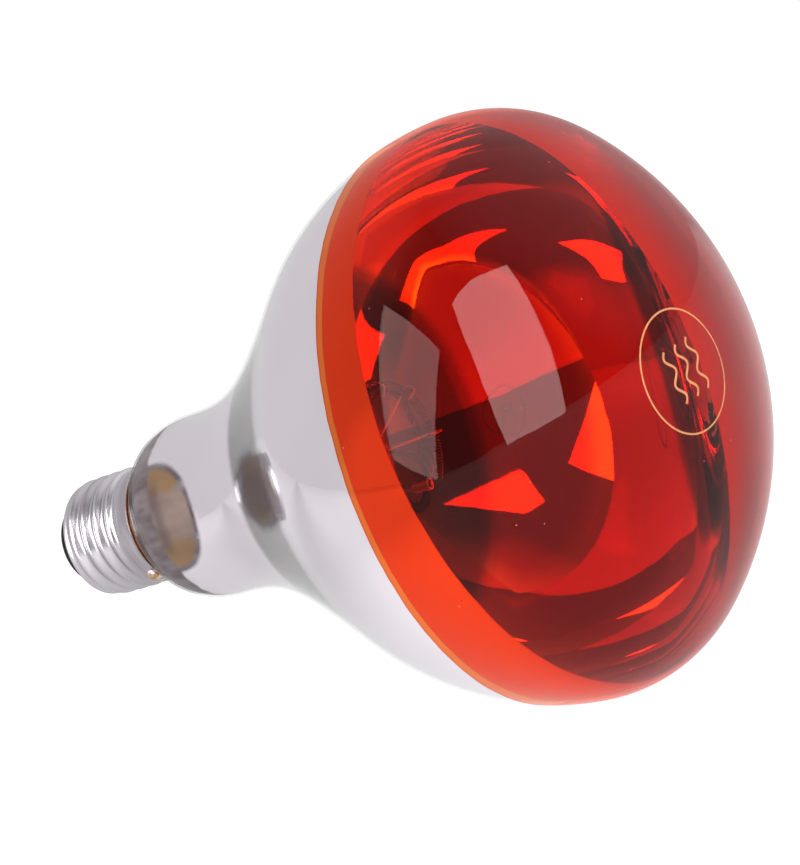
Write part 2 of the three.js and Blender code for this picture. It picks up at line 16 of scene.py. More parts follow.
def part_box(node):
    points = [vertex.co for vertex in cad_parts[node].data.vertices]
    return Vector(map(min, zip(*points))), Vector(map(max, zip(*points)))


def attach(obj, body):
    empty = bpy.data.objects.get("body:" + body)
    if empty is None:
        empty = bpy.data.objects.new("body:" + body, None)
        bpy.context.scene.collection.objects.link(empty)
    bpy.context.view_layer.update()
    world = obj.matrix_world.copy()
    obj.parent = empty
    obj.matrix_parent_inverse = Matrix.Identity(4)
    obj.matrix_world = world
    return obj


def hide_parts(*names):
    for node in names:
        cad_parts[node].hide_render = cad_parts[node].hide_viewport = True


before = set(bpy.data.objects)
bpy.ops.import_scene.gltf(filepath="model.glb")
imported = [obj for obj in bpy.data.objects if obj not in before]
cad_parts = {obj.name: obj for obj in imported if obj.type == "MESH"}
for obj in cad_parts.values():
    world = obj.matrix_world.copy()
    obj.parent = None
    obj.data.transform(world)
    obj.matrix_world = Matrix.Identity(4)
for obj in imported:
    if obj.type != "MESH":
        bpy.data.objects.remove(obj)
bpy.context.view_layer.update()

MM = 0.001
FLATS = 192  # round the axis, on every smooth turned piece


def box_mm(node):
    """A CAD node's lowest and highest corner, in millimetres."""
    low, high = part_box(node)
    return Vector(low) / MM, Vector(high) / MM


# ---- sizes from the frame ----

COAT_HIGH = box_mm("red_filter_coat")[1]
FILM_HIGH = box_mm("reflector_film")[1]
GLASS_LOW, GLASS_HIGH = box_mm("bulb_glass")
SHELL_LOW = box_mm("screw_shell")[0]

LAMP_RADIUS = COAT_HIGH.x
COAT_EDGE = -COAT_HIGH.y
FILM_REAR = -FILM_HIGH.y
GLASS_LENGTH = -GLASS_LOW.y
GLASS_RADIUS = GLASS_HIGH.x
COLLAR_END = -GLASS_HIGH.y
CAP_LENGTH = -SHELL_LOW.y

# ---- sizes that shape the curves between them, as in the CAD part ----

WIDEST = 122.5
DOME_RADIUS = 69
SHOULDER_RADIUS = 25.4
BOWL_RADIUS = 54.3
BOWL_SWEEP = math.radians(39.5)
THROAT_PULLS = (34.5, 13)
NECK_RADIUS = 20
NECK_STATION = 41
NECK_SHOULDER = (39, 13.3)  # station and depth of the round shoulder towards the cap
COLLAR_RADIUS = 10.8
GLASS_THICKNESS = 0.4  # thinner than in the CAD, so that the mirror nearly reaches the outline
COATING_THICKNESS = 0.2
COATING_GAP = 0.1
FILM_FRONT = 126
FILM_TILT = 6.5  # the film's front edge isn't square to the axis
FILM_TILT_ANGLE = math.radians(115)
DARK_BAND_FROM, DARK_BAND_TO = 64.5, 83  # a painted dark reflection: a darker ring in the film's colour round the throat
SHELL_THICKNESS = 0.3
SKIRT_RADIUS, SKIRT_STATION = 12.95, 21.9  # the plain band between the thread and the rim
FLARE_RADIUS, FLARE_STATION = 13.1, 24.2  # where that band starts to flare out to the rim
THREAD_PITCH = 25.4 / 7
THREAD_RADIUS = 12.62
THREAD_DEPTH = 1.0
THREAD_FROM, THREAD_TO, THREAD_FADE = 5.6, 21, 2.2
SOLDER_ANGLE = math.radians(220)
SOLDER_RADIUS, SOLDER_STATION = 13.75, 23.95  # the blob's middle
SOLDER_FOOT = 13.35  # the blob's flat side, just off the shell
SOLDER_REACH = (1.05, 1.5, 2.1)  # its half size outwards, along the axis and round the cap
STEM_RADIUS = 6.5
PRESS_STATION, PRESS_LENGTH, PRESS_WIDTH, PRESS_THICKNESS = 44.2, 11, 15, 4.2
EXHAUST_RADIUS, EXHAUST_TIP = 2.1, 9.2
ARBOR_RADIUS, ARBOR_TOP = 1.6, 80
BUTTON_RADIUS = 3.2
SHIELD_STATION = 60
LEAD_SPACING = 9
FILAMENT_STATION, FILAMENT_RING, FILAMENT_COIL = 88, 12.5, 1.0
FILAMENT_GAP = math.radians(64)
FILAMENT_TAIL = 0.09
FILAMENT_TURNS = 96
FILAMENT_WIRE = 0.1  # finer than in the CAD part, with three times the turns
CAD_FILAMENT_WIRE = 0.22
SUPPORTS = 5
OUTER_LEAD, INNER_LEAD, SUPPORT_WIRE = 0.28, 0.5, 0.25
FIT_GAP = 0.25
PRESS_TOP = PRESS_STATION + FIT_GAP + PRESS_LENGTH


def smoothstep(value, low, high):
    share = min(1, max(0, (value - low) / (high - low)))
    return share * share * (3 - 2 * share)


def mix(a, b, share):
    return a + (b - a) * share


# ---- node materials ----


class Nodes:
    """A node tree, built up node by node."""

    def __init__(self, owner):
        owner.use_nodes = True
        self.tree = owner.node_tree
        self.tree.nodes.clear()

    def add(self, kind, inputs=None, **settings):
        node = self.tree.nodes.new("ShaderNode" + kind)
        for key, value in settings.items():
            setattr(node, key, value)
        for key, value in (inputs or {}).items():
            if isinstance(value, bpy.types.NodeSocket):
                self.tree.links.new(value, node.inputs[key])
            else:
                node.inputs[key].default_value = value
        return node

    def math(self, operation, a, b=0.0):
        return self.add("Math", {0: a, 1: b}, operation=operation).outputs[0]

    def between(self, value, low, high, to_low=0.0, to_high=1.0):
        inputs = {"Value": value, "From Min": low, "From Max": high, "To Min": to_low, "To Max": to_high}
        return self.add("MapRange", inputs, interpolation_type="SMOOTHSTEP").outputs["Result"]

    def finish(self, shader, output="OutputMaterial"):
        self.tree.links.new(shader, self.add(output).inputs["Surface"])


class Look(Nodes):
    """A node material."""

    def __init__(self, name):
        self.material = bpy.data.materials.new(name)
        super().__init__(self.material)

    def place(self):
        """Where a point lies on the lamp, in metres."""
        return self.add("TexCoord").outputs["Object"]

    def stretched(self, scale):
        return self.add("Mapping", {"Vector": self.place(), "Scale": scale}).outputs["Vector"]

    def noise(self, scale, detail=3.0, roughness=0.55, place=None):
        inputs = {"Vector": place or self.place(), "Scale": scale, "Detail": detail, "Roughness": roughness}
        return self.add("TexNoise", inputs).outputs["Fac"]

    def blend(self, share, a, b):
        """A colour between a and b."""
        node = self.add("Mix", data_type="RGBA")
        for key, value in ((0, share), (6, a), (7, b)):  # its factor and its two colours
            if isinstance(value, bpy.types.NodeSocket):
                self.tree.links.new(value, node.inputs[key])
            else:
                node.inputs[key].default_value = value if key == 0 else (*value, 1)
        return node.outputs[2]

    def bump(self, height, strength, distance):
        return self.add("Bump", {"Height": height, "Strength": strength, "Distance": distance}).outputs[0]

    def mixed(self, share, a, b):
        return self.add("MixShader", {0: share, 1: a, 2: b}).outputs[0]

    def finish(self, shader):
        super().finish(shader)
        return self.material


GLOSS_IOR = 1.38
GLOSS_FACE_ON = 0.0095  # taken off the sheen, so that a surface seen face on keeps its own deep colour
GLOSS_STRENGTH = 0.65


def thin_sheen(look, clear, normal=None, roughness=0.015):
    """A skin so thin that light goes straight through it, with the gloss of its surface on top."""
    behind = look.add("NewGeometry").outputs["Backfacing"]
    ior_inputs = {"Value": behind, "To Min": GLOSS_IOR, "To Max": 1 / GLOSS_IOR}
    fresnel_inputs = {"IOR": look.add("MapRange", ior_inputs).outputs["Result"]}
    gloss_inputs = {"Color": (1, 1, 1, 1), "Roughness": roughness}
    if normal:
        fresnel_inputs["Normal"] = normal
        gloss_inputs["Normal"] = normal
    fresnel = look.add("Fresnel", fresnel_inputs).outputs[0]
    over = look.math("MAXIMUM", look.math("SUBTRACT", fresnel, GLOSS_FACE_ON), 0.0)
    share = look.math("MULTIPLY", over, GLOSS_STRENGTH)
    gloss = look.add("BsdfAnisotropic", gloss_inputs).outputs[0]
    return look.mixed(share, clear, gloss)


def blown_bump(look, strength=0.12):
    """The slow waves of blown glass."""
    slow = look.noise(16, 1)
    fine = look.noise(90, 2)
    return look.bump(look.math("ADD", slow, look.math("MULTIPLY", fine, 0.06)), strength, 0.004)


def glass_look(name="clear_glass", tint=(0.985, 0.985, 0.985), roughness=0.015):
    """Glass that lets light straight through. Its bare shoulder, behind the film, has painted shade at its
    edges, standing in for the dark outline that refraction gives real glass.
    """
    look = Look(name)
    faint = look.noise(60, 2)
    deeper = tuple(0.985 * part for part in tint)
    colour = look.blend(faint, tint, deeper)
    height = look.add("SeparateXYZ", {0: look.place()}).outputs["Y"]
    bare = look.between(height, -(FILM_REAR + 1) * MM, -FILM_REAR * MM)
    # painted shade: the bare glass is tinted darker towards its outline
    edge = look.between(look.add("LayerWeight", {"Blend": 0.5}).outputs["Facing"], 0.1, 0.95, 0.1, 0.8)
    edge_shaded_tint = look.blend(look.math("MULTIPLY", bare, edge), colour, (0.46, 0.47, 0.47))
    clear = look.add("BsdfTransparent", {"Color": edge_shaded_tint}).outputs[0]
    return look.finish(thin_sheen(look, clear, blown_bump(look), roughness))


def bonded_look(name):
    """A face that lies against its neighbour, so that no light turns back from it."""
    look = Look(name)
    colour = look.blend(look.noise(60, 2), (1, 1, 1), (0.995, 0.995, 0.995))
    return look.finish(look.add("BsdfTransparent", {"Color": colour}).outputs[0])


def red_coat_look():
    """Red lacquer with a little dust: orange over the mirror, deep red over the dome, most so at a slant."""
    look = Look("red_coat")
    height = look.add("SeparateXYZ", {0: look.place()}).outputs["Y"]
    uneven = look.math("MULTIPLY", look.noise(40, 2), 0.004)
    deepest = FILM_FRONT + 15
    depth = look.between(look.math("SUBTRACT", uneven, height), FILM_FRONT * MM, deepest * MM)
    slant = look.between(look.add("LayerWeight", {"Blend": 0.5}).outputs["Facing"], 0.3, 0.65)
    deep = look.blend(slant, (0.67, 0.052, 0.014), (0.55, 0.043, 0.012))
    tint = look.blend(depth, (0.95, 0.215, 0.03), deep)
    clear = look.add("BsdfTransparent", {"Color": tint}).outputs[0]
    lacquer = thin_sheen(look, clear, blown_bump(look))
    specks = look.add("TexVoronoi", {"Vector": look.place(), "Scale": 330.0, "Randomness": 1.0})
    chosen = look.add("SeparateColor", {0: specks.outputs["Color"]}).outputs[0]
    small = look.math("LESS_THAN", specks.outputs["Distance"], 0.04)
    dust = look.math("MULTIPLY", small, look.math("GREATER_THAN", chosen, 0.82))
    mote = look.add("BsdfDiffuse", {"Color": (0.6, 0.3, 0.24, 1)}).outputs[0]
    return look.finish(look.mixed(look.math("MULTIPLY", dust, 0.4), lacquer, mote))


def mirror_look():
    """Aluminium vapour on the inside of the glass: a full mirror that thins to brown at the neck's window,
    with a painted dark reflection as a ring round the throat.

    Three attributes steer it: film_depth, from 0 in the window to 1, film_gold, where its brown is golden,
    and film_shade, where it is darkest.
    """
    look = Look("mirror_film")
    along = look.math("MULTIPLY", look.add("SeparateXYZ", {0: look.place()}).outputs["Y"], -1 / MM)
    streaks = look.noise(60, 3, 0.5, look.stretched((0.1, 3, 0.1)))
    streaky = look.math("ADD", along, look.math("MULTIPLY", look.math("SUBTRACT", streaks, 0.5), 9.0))
    # painted reflection: a dark streaky ring in the film's base colour, standing in for the neck's own dark
    # reflection
    begins = look.between(along, DARK_BAND_FROM, DARK_BAND_FROM + 3)
    painted_dark_band = look.math("MULTIPLY", begins, look.between(streaky, DARK_BAND_TO - 4, DARK_BAND_TO + 3, 1.0, 0.0))
    silver = look.blend(look.noise(30, 2), (0.97, 0.89, 0.96), (0.94, 0.86, 0.93))
    dark_band_colour = look.blend(streaks, (0.21, 0.168, 0.19), (0.09, 0.07, 0.076))
    metal_inputs = {
        "Base Color": look.blend(look.math("MULTIPLY", painted_dark_band, 0.95), silver, dark_band_colour),
        "Metallic": 1.0,
        "Roughness": look.between(look.noise(70, 3), 0.3, 0.7, 0.02, 0.04),
        "Normal": blown_bump(look, 0.1),
    }
    metal = look.add("BsdfPrincipled", metal_inputs).outputs[0]
    depth = look.add("Attribute", attribute_name="film_depth").outputs["Fac"]
    gold = look.add("Attribute", attribute_name="film_gold").outputs["Fac"]
    shade = look.add("Attribute", attribute_name="film_shade").outputs["Fac"]
    speckle = look.math("SUBTRACT", look.noise(260, 4), 0.5)
    mottled = look.math("ADD", depth, look.math("MULTIPLY", speckle, 0.16))
    golden = look.blend(gold, (0.66, 0.50, 0.43), (0.60, 0.41, 0.25))
    runs = look.between(look.noise(330, 3, 0.6, look.stretched((1, 0.1, 1))), 0.35, 0.65)
    grey = look.blend(runs, (0.30, 0.25, 0.275), (0.13, 0.10, 0.115))
    greyness = look.between(mottled, 0.06, 0.28)
    veil = look.blend(greyness, golden, grey)
    thin = look.add("BsdfTransparent", {"Color": look.blend(shade, veil, (0.2, 0.14, 0.15))}).outputs[0]
    cloud = look.between(look.noise(110, 3, 0.6, look.stretched((1, 0.35, 1))), 0.3, 0.7)
    dull = look.blend(cloud, (0.33, 0.25, 0.215), (0.20, 0.14, 0.13))
    bright = look.blend(cloud, (0.32, 0.20, 0.105), (0.23, 0.14, 0.075))
    greyed = look.blend(runs, (0.24, 0.20, 0.21), (0.12, 0.09, 0.10))
    brown = look.blend(greyness, look.blend(gold, dull, bright), greyed)
    shaded = look.blend(shade, brown, (0.10, 0.068, 0.072))
    tarnish = look.add("BsdfDiffuse", {"Color": shaded}).outputs[0]
    hazy = look.mixed(0.55, thin, tarnish)
    return look.finish(look.mixed(look.between(mottled, 0.42, 0.9), hazy, metal))


def metal_look(name, bright, dark, rough, grain=400.0, depth=0.00004, stretch=(1, 1, 1)):
    """Bare metal with its grain, in two tones."""
    look = Look(name)
    place = look.stretched(stretch)
    fine = look.noise(grain, 5, 0.6, place)
    broad = look.noise(grain / 8, 3, 0.5, place)
    inputs = {
        "Base Color": look.blend(look.between(broad, 0.3, 0.7), bright, dark),
        "Metallic": 1.0,
        "Roughness": look.between(fine, 0.25, 0.75, rough[0], rough[1]),
        "Normal": look.bump(fine, 0.5, depth),
    }
    return look.finish(look.add("BsdfPrincipled", inputs).outputs[0])


def dull_look(name, pale, dark, rough, scale=500.0, depth=0.00012, gloss=0.5):
    """A body that isn't metal, mottled and slightly rough."""
    look = Look(name)
    mottle = look.noise(scale, 5, 0.6)
    inputs = {
        "Base Color": look.blend(look.between(mottle, 0.3, 0.7), pale, dark),
        "Roughness": look.between(look.noise(scale * 2, 3), 0.3, 0.7, rough[0], rough[1]),
        "Specular IOR Level": gloss,
        "Normal": look.bump(mottle, 0.6, depth),
    }
    return look.finish(look.add("BsdfPrincipled", inputs).outputs[0])


def mica_look():
    look = Look("mica")
    flakes = look.noise(240, 4, 0.6, look.stretched((1, 4, 1)))
    inputs = {
        "Base Color": look.blend(look.between(flakes, 0.35, 0.65), (0.52, 0.39, 0.22), (0.30, 0.20, 0.10)),
        "Roughness": look.between(flakes, 0.2, 0.8, 0.18, 0.4),
        "Normal": look.bump(flakes, 0.4, 0.0001),
    }
    return look.finish(look.add("BsdfPrincipled", inputs).outputs[0])


def solder_look():
    """Tin with burnt flux in its hollows."""
    look = Look("solder")
    burnt = look.between(look.noise(420, 4, 0.6), 0.44, 0.6)
    inputs = {
        "Base Color": look.blend(burnt, (0.62, 0.59, 0.58), (0.32, 0.15, 0.04)),
        "Metallic": look.math("SUBTRACT", 1.0, look.math("MULTIPLY", burnt, 0.8)),
        "Roughness": look.between(look.noise(700, 3), 0.3, 0.7, 0.18, 0.42),
        "Normal": look.bump(look.noise(500, 4), 0.5, 0.0002),
    }
    return look.finish(look.add("BsdfPrincipled", inputs).outputs[0])


LOOKS = {
    "clear_glass": glass_look(),
    "stem_glass": glass_look("stem_glass", (0.93, 0.95, 0.94), 0.06),
    "bonded": bonded_look("bonded_face"),
    "red_coat": red_coat_look(),
    "mirror_film": mirror_look(),
    "cap_aluminium": metal_look(
        "cap_aluminium", (0.66, 0.615, 0.66), (0.46, 0.42, 0.46), (0.17, 0.3), 260.0, 0.00004, (1, 9, 1)
    ),
    "black_glass": dull_look(
        "black_glass", (0.014, 0.012, 0.014), (0.006, 0.005, 0.006), (0.35, 0.5), 300.0, 0.0001, 0.04
    ),
    "contact_brass": metal_look("contact_brass", (0.80, 0.62, 0.34), (0.60, 0.43, 0.20), (0.2, 0.4)),
    "solder": solder_look(),
    "cement": dull_look("cement", (0.46, 0.17, 0.03), (0.10, 0.03, 0.01), (0.35, 0.6), 260.0),
    "copper_wire": metal_look("copper_wire", (0.80, 0.46, 0.30), (0.55, 0.28, 0.17), (0.2, 0.4)),
    "nickel_wire": metal_look("nickel_wire", (0.42, 0.40, 0.37), (0.26, 0.245, 0.225), (0.25, 0.45)),
    "mica": mica_look(),
    "tungsten": metal_look("tungsten", (0.16, 0.155, 0.15), (0.08, 0.078, 0.076), (0.35, 0.55)),
    "ink": dull_look("printed_ink", (0.44, 0.17, 0.06), (0.34, 0.12, 0.04), (0.3, 0.5), 900.0, 0.00003),
}

# ---- making pieces ----


def declare(piece, slot, *nodes):
    """Says what a finished piece rides on and stands for. Its slot, where it would take its finish from, is
    not used.
    """
    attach(piece, "root")
    if nodes:
        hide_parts(*nodes)
    return piece


def solid(name, vertices, faces, looks, face_looks=None, sharp=35, attributes=None):
    """A closed mesh from points in millimetres, with its faces turned outwards."""
    mesh = bpy.data.meshes.new(name)
    mesh.from_pydata([Vector(v) * MM for v in vertices], [], faces)
    for look in looks:
        mesh.materials.append(LOOKS[look])
    if face_looks:
        mesh.polygons.foreach_set("material_index", face_looks)
    for key, values in (attributes or {}).items():
        mesh.attributes.new(key, "FLOAT", "POINT").data.foreach_set("value", values)
    shape = bmesh.new()
    shape.from_mesh(mesh)
    bmesh.ops.remove_doubles(shape, verts=shape.verts, dist=1e-7)
    bmesh.ops.recalc_face_normals(shape, faces=shape.faces)
    shape.to_mesh(mesh)
    shape.free()
    mesh.shade_smooth()
    mesh.set_sharp_from_angle(angle=math.radians(sharp))
    piece = bpy.data.objects.new(name, mesh)
    bpy.context.scene.collection.objects.link(piece)
    return piece


def spoke(angle, radius, station):
    """The point at a radius and station, in the direction square to the axis that the angle gives."""
    return Vector((radius * math.cos(angle), -station, radius * math.sin(angle)))


def revolved(name, profile, looks, side_looks=None, flats=FLATS, middle=(0, 0), sharp=35, attributes=None):
    """Turns a closed outline about a line along Y. profile(angle) gives its (radius, station) points."""
    columns = [profile(2 * math.pi * i / flats) for i in range(flats)]
    count = len(columns[0])
    shift = Vector((middle[0], 0, middle[1]))
    vertices = []
    for i, column in enumerate(columns):
        angle = 2 * math.pi * i / flats
        vertices += [spoke(angle, radius, station) + shift for radius, station in column]
    on_axis = abs(columns[0][0][0]) < 1e-6 and abs(columns[0][-1][0]) < 1e-6
    sides = count - 1 if on_axis else count
    faces = []
    face_looks = []
    for i in range(flats):
        here = i * count
        there = (i + 1) % flats * count
        for j in range(sides):
            k = (j + 1) % count
            faces.append((here + j, here + k, there + k, there + j))
            face_looks.append(side_looks[j] if side_looks else 0)
    return solid(name, vertices, faces, looks, face_looks, sharp, attributes)


def turned(name, outline, look, flats=FLATS, middle=(0, 0), sharp=35):
    return revolved(name, lambda angle: outline, [look], None, flats, middle, sharp)


def rounded(outline, radius, steps=3):
    """The outline with each corner that isn't on the axis rounded off."""
    points = []
    count = len(outline)
    for i, corner in enumerate(outline):
        corner = Vector(corner)
        if corner.x < 1e-6:
            points.append(tuple(corner))
            continue
        before = Vector(outline[i - 1]) - corner
        after = Vector(outline[(i + 1) % count]) - corner
        reach = min(radius, 0.4 * before.length, 0.4 * after.length)
        start = corner + before.normalized() * reach
        end = corner + after.normalized() * reach
        for step in range(steps + 1):
            share = step / steps
            first = start.lerp(corner, share)
            points.append(tuple(first.lerp(corner.lerp(end, share), share)))
    return points


def through(places, steps):
    """A smooth curve through the given places: a centripetal Catmull-Rom spline."""
    ends = [places[0] * 2 - places[1], *places, places[-1] * 2 - places[-2]]
    points = []
    for i in range(1, len(ends) - 2):
        a, b, c, d = ends[i - 1 : i + 3]
        ta, tb = 0, (b - a).length ** 0.5
        tc = tb + (c - b).length ** 0.5
        td = tc + (d - c).length ** 0.5
        for step in range(steps):
            t = tb + (tc - tb) * step / steps
            ab = a.lerp(b, (t - ta) / (tb - ta))
            bc = b.lerp(c, (t - tb) / (tc - tb))
            cd = c.lerp(d, (t - tc) / (td - tc))
            abc = ab.lerp(bc, (t - ta) / (tc - ta))
            bcd = bc.lerp(cd, (t - tb) / (td - tb))
            points.append(abc.lerp(bcd, (t - tb) / (tc - tb)))
    return [*points, places[-1]]


def wire(name, points, radius, look, sides=2):
    """A round wire or rod along points in millimetres."""
    curve = bpy.data.curves.new(name, "CURVE")
    curve.dimensions = "3D"
    curve.bevel_depth = radius * MM
    curve.bevel_resolution = sides
    curve.use_fill_caps = True
    spline = curve.splines.new("POLY")
    spline.points.add(len(points) - 1)
    for spot, point in zip(spline.points, points):
        spot.co = (*(point * MM), 1)
    spline.use_smooth = True
    curve.materials.append(LOOKS[look])
    piece = bpy.data.objects.new(name, curve)
    bpy.context.scene.collection.objects.link(piece)
    return piece


# ---- the envelope ----


def arc(centre, radii, start, end, steps):
    """Points (radius, station) on an arc. Its angle goes from the way to the dome towards the side."""
    points = []
    for i in range(steps + 1):
        angle = mix(start, end, i / steps)
        points.append((centre[0] + radii[0] * math.sin(angle), centre[1] + radii[1] * math.cos(angle)))
    return points


def envelope_outline():
    """The outside of the glass, from the top of the dome to the end of the collar."""
    quarter = math.pi / 2
    sweep = math.asin((GLASS_RADIUS - SHOULDER_RADIUS) / (DOME_RADIUS - SHOULDER_RADIUS))
    bowl_middle = (GLASS_RADIUS - BOWL_RADIUS, WIDEST)
    dome = arc((0, GLASS_LENGTH - DOME_RADIUS), (DOME_RADIUS,) * 2, 0, sweep, 40)
    shoulder = arc((GLASS_RADIUS - SHOULDER_RADIUS, WIDEST), (SHOULDER_RADIUS,) * 2, sweep, quarter, 30)
    bowl = arc(bowl_middle, (BOWL_RADIUS,) * 2, quarter, quarter + BOWL_SWEEP, 30)
    start = Vector(bowl[-1])
    leaving = Vector((-math.sin(BOWL_SWEEP), -math.cos(BOWL_SWEEP)))
    end = Vector((NECK_RADIUS, NECK_STATION))
    pulls = [start, start + leaving * THROAT_PULLS[0], end + Vector((0, THROAT_PULLS[1])), end]
    throat = []
    for i in range(1, 61):
        t = i / 60
        weights = ((1 - t) ** 3, 3 * t * (1 - t) ** 2, 3 * t * t * (1 - t), t**3)
        throat.append(tuple(sum((p * w for p, w in zip(pulls, weights)), Vector((0, 0)))))
    station, depth = NECK_SHOULDER
    neck = arc((COLLAR_RADIUS, station), (NECK_RADIUS - COLLAR_RADIUS, depth), quarter, math.pi, 24)
    return dome + shoulder[1:] + bowl[1:] + throat + neck + [(COLLAR_RADIUS, COLLAR_END)]


OUTLINE = envelope_outline()
LENGTHS = [0.0]
for before, after in zip(OUTLINE, OUTLINE[1:]):
    LENGTHS.append(LENGTHS[-1] + math.dist(before, after))


def outline_at(length, distance=0.0):
    """The point at a length along the outline from the dome's top, moved out by a distance."""
    k = min(max(bisect_left(LENGTHS, length), 1), len(LENGTHS) - 1)
    share = (length - LENGTHS[k - 1]) / (LENGTHS[k] - LENGTHS[k - 1])
    here = Vector(OUTLINE[k - 1]).lerp(Vector(OUTLINE[k]), share)

    def way(i):
        low, high = max(i - 1, 0), min(i + 1, len(OUTLINE) - 1)
        return (Vector(OUTLINE[high]) - Vector(OUTLINE[low])).normalized()

    along = way(k - 1).lerp(way(k), share).normalized()
    radius = max(0.0, here.x - along.y * distance)
    return (0.0 if length <= 0 else radius, here.y + along.x * distance)


def length_at(station):
    """The length along the outline at which it crosses a station behind the dome's top."""
    k = next(i for i, point in enumerate(OUTLINE) if i and point[1] <= station)
    share = (station - OUTLINE[k - 1][1]) / (OUTLINE[k][1] - OUTLINE[k - 1][1])
    return mix(LENGTHS[k - 1], LENGTHS[k], share)


def skin_profile(start, end, outer, inner, rings):
    """The outline of a thin skin between two lengths, outside first and then back along its inside."""
    stops = [mix(start, end, i / rings) for i in range(rings + 1)]
    outside = [outline_at(stop, outer) for stop in stops]
    inside = [outline_at(stop, inner) for stop in reversed(stops)]
    return outside + inside


def ripple(angle, waves, seed):
    """A smooth uneven value round the axis, from -1 to 1."""
    return noise.noise(Vector((math.cos(angle) * waves, math.sin(angle) * waves, seed)))


def bulb_glass():
    rings = 200
    whole = LENGTHS[-1]
    under_coat = int(rings * length_at(COAT_EDGE) / whole)
    side_looks = [1 if i < under_coat else 0 for i in range(rings)] + [0] * (rings + 2)
    profile = skin_profile(0, whole, 0, -GLASS_THICKNESS, rings)
    piece = revolved("glass_envelope", lambda angle: profile, ["clear_glass", "bonded"], side_looks)
    return declare(piece, "clear_glass", "bulb_glass")


def red_filter_coat():
    rings = 110

    def profile(angle):
        station = COAT_EDGE + 0.12 * ripple(angle, 6, 3.1) + 0.12 * ripple(angle, 30, 7.7)
        return skin_profile(0, length_at(station), COATING_GAP + COATING_THICKNESS, COATING_GAP, rings)

    side_looks = [0] * (rings + 1) + [1] * (rings + 1)
    piece = revolved("red_lacquer", profile, ["red_coat", "bonded"], side_looks)
    return declare(piece, "red_coat", "red_filter_coat")


WINDOW_ANGLES = (math.radians(167), math.radians(347))  # where the press shaded the neck from the vapour
WINDOW_HALF_WIDTH = math.radians(39.5)
WINDOW_FOOT = 37.5  # the window's rounded top starts here
WINDOW_HEIGHT = 11.5
NOTCH_OFF = math.radians(16)  # from the window's middle to the streaks that part it in three
NOTCH_FOOT = 43
OVERSPRAY_FRONT = 36.6  # behind it, the film is only a faint grey veil


def off_window(angle):
    """The angle to the nearest window's middle."""
    return min(abs(math.remainder(angle - middle, 2 * math.pi)) for middle in WINDOW_ANGLES)


def film_depth(angle, station):
    """How thick the vapour film is: 1 is a full mirror, 0 next to nothing."""
    off = off_window(angle) * (1 + 0.05 * ripple(angle, 5, 1.3))
    above = max(0, station - WINDOW_FOOT) / WINDOW_HEIGHT
    reach = math.hypot(off / WINDOW_HALF_WIDTH, above)
    depth = smoothstep(reach, 0.76, 1.05)
    notch = 1 - smoothstep(abs(off - NOTCH_OFF), 0.01, 0.06)
    depth = max(depth, 0.62 * notch * smoothstep(station, NOTCH_FOOT, NOTCH_FOOT + 4))
    edge = OVERSPRAY_FRONT + 0.5 * ripple(angle, 8, 5.5)
    veil = mix(0.2, 0.42, smoothstep(station, FILM_REAR, FILM_REAR + 4)) + 0.06 * ripple(angle, 5, 8.8)
    return mix(veil, depth, smoothstep(station, edge - 0.5, edge + 0.8))


def film_gold(angle):
    """Where the window's brown is golden: towards its sides."""
    return smoothstep(off_window(angle), NOTCH_OFF - 0.07, NOTCH_OFF + 0.05)


def film_shade(angle, station):
    """A dark streak along the foot of the window."""
    across = 1 - smoothstep(off_window(angle), NOTCH_OFF, NOTCH_OFF + 0.25)
    drift = station - OVERSPRAY_FRONT - 1.6 - 0.5 * ripple(angle, 6, 2.7)
    return 0.6 * across * (1 - smoothstep(abs(drift), 0.2, 2.6))


def reflector_film():
    rings = 190
    inner = -GLASS_THICKNESS - COATING_GAP
    attributes = {"film_depth": [], "film_gold": [], "film_shade": []}

    def profile(angle):
        front = FILM_FRONT - FILM_TILT * math.cos(angle - FILM_TILT_ANGLE) + 0.25 * ripple(angle, 12, 9.2)
        points = skin_profile(length_at(front), length_at(FILM_REAR), inner, inner - COATING_THICKNESS, rings)
        attributes["film_depth"].extend(film_depth(angle, station) for radius, station in points)
        attributes["film_gold"].extend([film_gold(angle)] * len(points))
        attributes["film_shade"].extend(film_shade(angle, station) for radius, station in points)
        return points

    piece = revolved("mirror_film", profile, ["mirror_film"], attributes=attributes)
    return declare(piece, "mirror_film", "reflector_film")


MARK_PLACE = (-15.6, 1.6)  # its middle's x and z on the dome
MARK_RADIUS, MARK_RING_WIDTH = 11.4, 0.36
MARK_LIFT, MARK_THICKNESS = 0.01, 0.03
WAVE_SPACING, WAVE_HEIGHT, WAVE_SWING, WAVE_WIDTH = 3.6, 10, 0.9, 0.5


